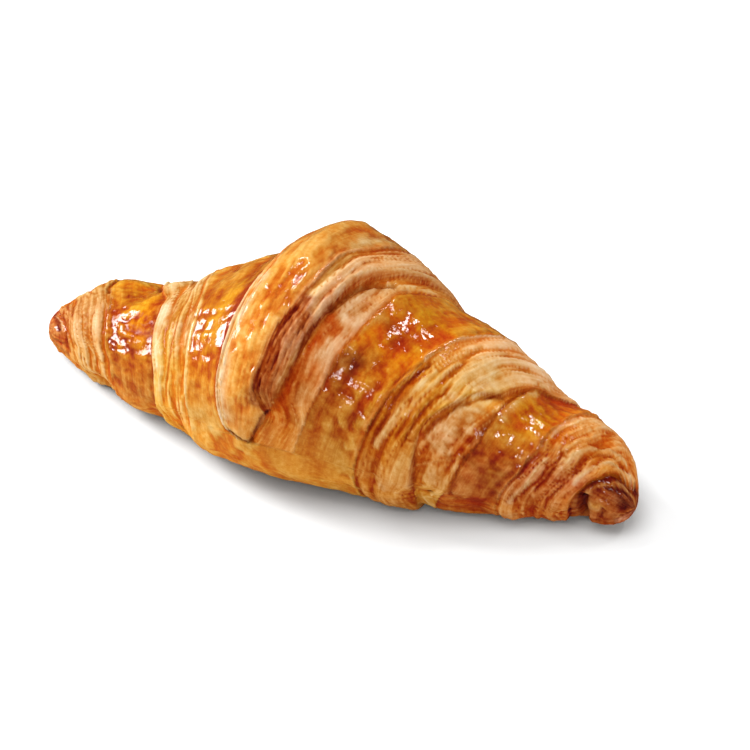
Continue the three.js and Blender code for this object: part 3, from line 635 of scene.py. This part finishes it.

# ----------------------------------------------------------------------------- colour
# Base tone of each strip at the top, upper front, lower front and foot (80, 115, 150, 190
# degrees), from the left tip to the right tip.
# Part of the light and shade on each strip is painted into these tones: strips lying in shade are darker, tops where
# glints fell paler.
TONES = [
    ((195, 105, 50), (195, 100, 50), (170, 80, 35), (205, 125, 60)),           # left tip
    ((180, 125, 55), (165, 100, 40), (170, 100, 35), (215, 145, 60)),          # its laminated edge
    ((210, 130, 30), (160, 65, 1), (160, 75, 2), (210, 130, 55)),              # left outer skin
    ((185, 140, 80), (175, 115, 35), (195, 150, 65), (225, 145, 35)),          # laminated edge
    ((220, 150, 65), (170, 80, 4), (190, 105, 20), (220, 145, 60)),             # left inner skin
    ((195, 115, 40), (220, 155, 85), (235, 190, 130), (235, 185, 105)),        # flap's left rim
    ((215, 140, 50), (205, 135, 50), (215, 145, 60), (215, 135, 45)),          # flap
    ((205, 135, 70), (170, 80, 25), (150, 65, 20), (160, 70, 25)),             # flap's cut edge
    ((230, 170, 95), (215, 125, 60), (200, 110, 45), (215, 140, 50)),           # hollow beside it
    ((220, 135, 40), (215, 120, 12), (195, 110, 45), (210, 140, 60)),           # right inner skin
    ((230, 170, 110), (210, 150, 65), (175, 95, 12), (180, 95, 15)),           # laminated edge
    ((240, 190, 115), (240, 190, 115), (180, 85, 12), (215, 160, 80)),         # under its fold
    ((220, 120, 35), (210, 105, 10), (165, 60, 15), (185, 95, 40)),             # right outer skin
    ((220, 140, 65), (195, 105, 20), (155, 45, 1), (190, 95, 15)),             # laminated edge
    ((150, 70, 30), (145, 60, 25), (140, 55, 25), (150, 65, 30)),              # right tip
]
BROWNING = 0.43                          # how fast the crust's pigment builds up as it browns


def mix(c, k, colour):
    k = np.clip(k, 0, 1)[..., None]
    return c * (1 - k) + np.asarray(colour) * k


tone = Noise(41, 4.0, 10.0)(XS, PHI)
tone2 = Noise(42, 1.6, 4.0)(XS, PHI)
tone3 = Noise(43, 0.6, 1.6)(XS, PHI)
speck = Noise(44, 0.38, 1.0)(XS, PHI)
flow_a = Noise(45, 1.6, 14.0, deg_span=1440.0, nd=1440)(Q, UNW)
flow_b = Noise(46, 0.6, 9.0, deg_span=1440.0, nd=1440)(Q, UNW)

table = np.array([[lin(*c) for c in row] for row in TONES])
pos = np.array([80.0, 115.0, 150.0, 190.0])
seen = np.clip(PHI, 80, 190)
i = np.clip(np.searchsorted(pos, seen, side="right") - 1, 0, 2)
w = ((seen - pos[i]) / (pos[i + 1] - pos[i]))[..., None]
col = table[LAYER, i] * (1 - w) + table[LAYER, i + 1] * w
# round the sole and the back each strip's tone runs on into its next turn
outward = np.array([2, 3, 4, 5, 6, 5, 6, 7, 8, 6, 7, 10, 9, 10, 12])    # the strip it is a turn later
inward_l = np.array([0, 0, 0, 1, 2, 3, 4, 10, 10, 4, 13, 13, 14, 14, 14])
inward_r = np.array([0, 0, 0, 1, 2, 3, 9, 10, 10, 12, 13, 13, 14, 14, 14])
run = np.clip(np.where(PHI > 190, PHI - 190, PHI + 170) / 250.0, 0, 1)[..., None]
later = table[LAYER, 3] * (1 - run) + table[outward[LAYER], 0] * run
before = table[np.where(X < centre_x, inward_l[LAYER], inward_r[LAYER]), 3] * (1 - run) + table[LAYER, 0] * run
col = np.where((PHI > 190)[..., None], later, np.where((PHI < 80)[..., None], before, col))
# the tones of neighbouring strips run into each other a little at a laminated edge's rim
inner = np.isin(LAYER, (4, 9)) * smooth(176, 190, PHI)
across = smooth(-16, 9, X)[..., None]
col = mix(col, inner, (table[4, i] * (1 - w) + table[4, i + 1] * w) * (1 - across) + (table[9, i] * (1 - w) + table[9, i + 1] * w) * across)
for m, c_ in PAINT:
    col = mix(col, m * np.clip(0.92 + 0.16 * tone2 + 0.12 * tone3, 0.4, 1.15), 0.72 * c_)
# step faces reddish brown, lighter towards the top: browned crust with painted shade under the lips
face = FACE * window(PHI, 62, 178, 14)
high = (1 - smooth(100, 116, PHI))[..., None]
col = mix(col, 0.7 * face * np.clip(0.75 + 0.3 * tone2, 0.2, 1), lin(150, 62, 16) * (1 - high) + lin(190, 92, 10) * high)

busy = np.clip(0.75 + 0.55 * tone, 0.15, 1.5)          # some places are smoother than others
# laminated edges: the sheets' own streaks, plus painted light on the crests and painted shade in the grooves
shade = lam * (1 - 0.7 * CALM) * (0.34 * sb * busy + 0.20 * sc * busy + 0.36 * sa + busy * (0.60 * crest - 0.80 * groove) + 0.04)
plain = (1 - seam) * np.where(LAYER == 6, 0.4, 1.0)
shade += skin * (0.16 * tone + 0.14 * tone2 + plain * (0.14 * flow_a + 0.12 * flow_b) + 0.10 * tone3 + 0.10 * bl - 0.18 * np.exp(-(cr / 0.25) ** 2) + 0.04)
# rims: painted shade beside them, pale crests partly painted highlight
shade += 0.9 * RIM_LIGHT_AND_SHADE + 0.12 * speck + 0.10 * tone3


# painted shade: hollows darker and redder; painted light: ridges paler
hollow = 1.1 * (D - blur(D, 2, 2)) / 0.3 + 0.7 * (D - blur(D, 6, 5)) / 0.5
shade += np.clip(hollow, -1.0, np.where(LAYER == 7, 0.5 - 0.45 * smooth(105, 120, PHI), 0.5))
shade += 0.45 * crumb * CRUMBLY
shade = (1.6 * np.tanh(shade / 1.6) + SHADE) * (0.65 + 0.35 * window(PHI, 66, 196, 20))
visible_front = window(PHI, 85, 178, 16)
# painted shade in the cracks, stronger round the back
shade -= 1.3 * crack_shade_and_glow * (0.45 + 0.55 * (1 - visible_front))
col = np.clip(col, 0.001, 0.93) ** np.exp(-BROWNING * shade[..., None] * np.where(shade[..., None] < 0, (0.95, 1.12, 1.0), (1.0, 0.96, 1.0)))
col = mix(col, 0.6 * np.clip(RIM_LIGHT_AND_SHADE, 0, 1) * visible_front, lin(232, 162, 100))      # torn rims pale, partly painted highlight
col = mix(col, 0.65 * crack_shade_and_glow * visible_front, lin(225, 118, 32))          # painted orange bounce light in the gaps
# painted warm bounce light in the darkest parts of the laminated edges
col = mix(col, 0.45 * np.clip(-shade - 0.45, 0, 1) * lam * (LAYER < 6) * visible_front, lin(214, 112, 28))
col = mix(col, 0.5 * browned * (SIDE > 0) * window(PHI, 58, 170, 16), lin(198, 96, 34))     # browned rims
# no change of tone where the layers run under the foot of the flap
soft = window(PHI, 176, 196, 8)[..., None] * window(X, 3.5, 17, 3)[..., None]
col = col * (1 - soft) + np.stack([blur(col[..., k], 1, 9) for k in range(3)], -1) * soft
col[..., 2] **= 1 + 0.16 * skin * (LAYER != 6) + 0.12 * lam * np.clip(-shade, 0, 1)
# lower side: less glaze, more even tan; the sole is dull
lower = smooth(176, 200, PHI) * (1 - smooth(340, 368, PHI))
under = smooth(224, 246, PHI) * (1 - smooth(294, 316, PHI))
col = mix(col, 0.75 * under, SOLE)
col = mix(col, 0.25 * under * np.clip(0.5 + tone, 0, 1), BROWN)
col = np.clip(col, 0.002, 0.9)
glaze = (1 - 0.8 * lam) * (1 - 0.8 * lower) * np.clip(0.9 + 0.1 * tone, 0, 1) + 0.8 * GLOSS
glaze = np.clip(glaze, 0.03, 1)

# ----------------------------------------------------------------------------- the mesh
def build(name):
    n = RINGS * SPOKES
    ends = body(np.array([[-1.0], [1.0]]), np.zeros((2, 1)), np.zeros((2, 1)), np.zeros((2, 1)), np.zeros((2, 1)))[:, 0]
    verts = np.concatenate([P.reshape(-1, 3), ends]) / 1000.0
    r = np.arange(RINGS - 1)[:, None]
    s = np.arange(SPOKES)[None, :]
    s2 = (s + 1) % SPOKES
    quads = np.stack([r * SPOKES + s, r * SPOKES + s2, (r + 1) * SPOKES + s2, (r + 1) * SPOKES + s], -1).reshape(-1, 4)
    a = np.arange(SPOKES)
    b = (a + 1) % SPOKES
    left = np.stack([np.full(SPOKES, n), b, a], -1)
    last = (RINGS - 1) * SPOKES
    right = np.stack([np.full(SPOKES, n + 1), last + a, last + b], -1)
    faces = [tuple(q) for q in quads.tolist()] + [tuple(q) for q in left.tolist()] + [tuple(q) for q in right.tolist()]
    me = bpy.data.meshes.new(name)
    me.from_pydata(verts.tolist(), [], faces)
    me.polygons.foreach_set("use_smooth", [True] * len(me.polygons))

    def pad(v):
        return np.concatenate([v.reshape(-1), [v[0].mean(), v[-1].mean()]]).astype(np.float32)

    attribute = me.attributes.new("Crust", "FLOAT_COLOR", "POINT")
    rgba = np.ones((n + 2, 4), np.float32)
    for k in range(3):
        rgba[:, k] = np.clip(pad(col[..., k]), 0, 1)
    attribute.data.foreach_set("color", rgba.ravel())
    for key, v in (("Glaze", glaze), ("Layered", lam)):
        attribute = me.attributes.new(key, "FLOAT", "POINT")
        attribute.data.foreach_set("value", pad(v))
    flow = np.stack([pad(Q * 0.001), pad(Rloc * np.radians(UNW) * 0.001), pad(SIDE * 0.05)], -1)
    attribute = me.attributes.new("Flow", "FLOAT_VECTOR", "POINT")
    attribute.data.foreach_set("vector", flow.astype(np.float32).ravel())
    me.update()
    o = bpy.data.objects.new(name, me)
    bpy.context.scene.collection.objects.link(o)
    return o


croissant = build("croissant_crust")


def crust_material():
    m = bpy.data.materials.new("baked_crust")
    m.use_nodes = True
    t = m.node_tree
    t.nodes.clear()
    new = t.nodes.new
    link = t.links.new

    def attr(name):
        n = new("ShaderNodeAttribute")
        n.attribute_name = name
        return n

    def noise(vector, scale, detail, rough=0.5):
        n = new("ShaderNodeTexNoise")
        n.inputs["Scale"].default_value = scale
        n.inputs["Detail"].default_value = detail
        n.inputs["Roughness"].default_value = rough
        link(vector, n.inputs["Vector"])
        return n.outputs["Fac"]

    def span_of(value, a, b, c, d):
        n = new("ShaderNodeMapRange")
        for key, v in (("From Min", a), ("From Max", b), ("To Min", c), ("To Max", d)):
            n.inputs[key].default_value = v
        link(value, n.inputs["Value"])
        return n.outputs["Result"]

    def maths(op, a, b):
        n = new("ShaderNodeMath")
        n.operation = op
        for k, v in enumerate((a, b)):
            if isinstance(v, (int, float)):
                n.inputs[k].default_value = v
            else:
                link(v, n.inputs[k])
        return n.outputs[0]

    out = new("ShaderNodeOutputMaterial")
    b = new("ShaderNodeBsdfPrincipled")
    link(b.outputs["BSDF"], out.inputs["Surface"])
    crust, gloss, layered, flow = attr("Crust"), attr("Glaze"), attr("Layered"), attr("Flow")
    place = new("ShaderNodeTexCoord").outputs["Object"]
    along = new("ShaderNodeMapping")                 # streaks run with the strip
    along.inputs["Scale"].default_value = (1500, 130, 1)
    link(flow.outputs["Vector"], along.inputs["Vector"])
    fibre = noise(along.outputs["Vector"], 1.0, 2.0, 0.5)
    crumb = noise(place, 950, 4.0, 0.6)
    fine_crumb = noise(place, 2600, 2.0)
    wrinkle = noise(place, 420, 2.0, 0.5)
    # tone: streaks on the layers, mottling everywhere
    streak = maths("MULTIPLY", maths("SUBTRACT", fibre, 0.5), maths("ADD", maths("MULTIPLY", layered.outputs["Fac"], 0.75), 0.6))
    mottle = maths("MULTIPLY", maths("SUBTRACT", crumb, 0.5), maths("ADD", maths("MULTIPLY", layered.outputs["Fac"], -0.1), 1.15))
    s = maths("ADD", streak, mottle)
    brown = new("ShaderNodeGamma")                   # more pigment where s is low
    link(crust.outputs["Color"], brown.inputs["Color"])
    link(span_of(s, -0.6, 0.6, 1.5, 0.55), brown.inputs["Gamma"])
    bounce = new("ShaderNodeMix")                    # light it throws on the floor stays neutral
    bounce.data_type = "RGBA"
    link(new("ShaderNodeLightPath").outputs["Is Diffuse Ray"], bounce.inputs[0])
    link(brown.outputs["Color"], bounce.inputs[6])
    bounce.inputs[7].default_value = (0.24, 0.18, 0.14, 1)
    link(bounce.outputs[2], b.inputs["Base Color"])
    link(span_of(gloss.outputs["Fac"], 0, 1, 0.7, 0.5), b.inputs["Roughness"])
    link(maths("MULTIPLY", gloss.outputs["Fac"], 0.9), b.inputs["Coat Weight"])
    b.inputs["Coat Roughness"].default_value = 0.05
    b.inputs["Coat IOR"].default_value = 2.0
    b.inputs["Specular IOR Level"].default_value = 0.04
    bump = new("ShaderNodeBump")
    bump.inputs["Strength"].default_value = 0.8
    bump.inputs["Distance"].default_value = 0.0004
    h = maths("ADD", maths("MULTIPLY", streak, 0.45), maths("ADD", maths("MULTIPLY", crumb, 0.5), maths("MULTIPLY", fine_crumb, 0.25)))
    link(h, bump.inputs["Height"])
    link(bump.outputs["Normal"], b.inputs["Normal"])
    glint = new("ShaderNodeBump")
    glint.inputs["Strength"].default_value = 0.9
    glint.inputs["Distance"].default_value = 0.00026
    link(maths("ADD", wrinkle, maths("MULTIPLY", crumb, 0.18)), glint.inputs["Height"])
    link(glint.outputs["Normal"], b.inputs["Coat Normal"])
    return m


croissant.data.materials.append(crust_material())
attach(croissant, "root")
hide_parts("croissant")


# ----------------------------------------------------------------------------- the stage
def floor():
    me = bpy.data.meshes.new("studio_floor")
    s, z = 3.0, -0.0002
    me.from_pydata([(-s, -s, z), (s, -s, z), (s, s, z), (-s, s, z)], [], [(0, 1, 2, 3)])
    o = bpy.data.objects.new("studio_floor", me)
    bpy.context.scene.collection.objects.link(o)
    m = bpy.data.materials.new("floor_white")
    m.use_nodes = True
    b = m.node_tree.nodes["Principled BSDF"]
    b.inputs["Base Color"].default_value = (0.93, 0.93, 0.93, 1)
    b.inputs["Roughness"].default_value = 0.9
    b.inputs["Specular IOR Level"].default_value = 0.0
    me.materials.append(m)
    o.visible_glossy = False


floor()


def area(name, direction, distance, size, watts, glossy=True, target=(0, 0, 0.02)):
    l = bpy.data.lights.new(name, "AREA")
    l.shape = "SQUARE"
    l.size = size
    l.energy = watts
    o = bpy.data.objects.new(name, l)
    d = Vector(direction).normalized()
    o.location = Vector(target) + d * distance
    o.rotation_euler = d.to_track_quat("Z", "Y").to_euler()
    o.visible_glossy = glossy
    bpy.context.scene.collection.objects.link(o)


area("key", (-0.95, -0.02, 0.29), 1.2, 0.44, 5.5)
area("crown", (-0.44, 0.22, 0.87), 1.2, 0.13, 0.9)
area("back", (0.36, 0.44, 0.82), 1.2, 0.16, 1.3)
area("side", (0.44, -0.66, 0.61), 1.2, 0.14, 1.0)
area("right", (0.80, -0.18, 0.57), 1.2, 0.12, 0.75)
area("window", (-0.80, -0.06, 0.60), 4.0, 1.5, 110, glossy=False)
area("overhead", (-0.12, -0.33, 0.93), 4.0, 3.2, 105, glossy=False)
world = bpy.data.worlds.new("studio")
world.use_nodes = True
wt = world.node_tree
sky = wt.nodes["Background"]
sky.inputs["Color"].default_value = (1, 1, 1, 1)
rays = wt.nodes.new("ShaderNodeLightPath")
level = wt.nodes.new("ShaderNodeMapRange")        # the walls are dark in reflections
level.inputs["To Min"].default_value = 0.38
level.inputs["To Max"].default_value = 0.03
wt.links.new(rays.outputs["Is Glossy Ray"], level.inputs["Value"])
wt.links.new(level.outputs["Result"], sky.inputs["Strength"])
bpy.context.scene.world = world

CAM_AZ, CAM_EL, CAM_DIST = 27.51, 36.0, 503.51
a, e = math.radians(CAM_AZ), math.radians(CAM_EL)
back = Vector((math.sin(a) * math.cos(e), -math.cos(a) * math.cos(e), math.sin(e)))
cam = bpy.data.cameras.new("camera")
cam.lens = 100.0
cam.sensor_width = 36.0
cam.clip_start = 0.01
cam.clip_end = 20
co = bpy.data.objects.new("camera", cam)
co.location = (Vector((13.85, Y_SHIFT, 22.33)) + back * CAM_DIST) / 1000.0
co.rotation_euler = back.to_track_quat("Z", "Y").to_euler()
bpy.context.scene.collection.objects.link(co)
bpy.context.scene.camera = co
bpy.context.scene.view_settings.view_transform = "Standard"

bpy.context.view_layer.update()
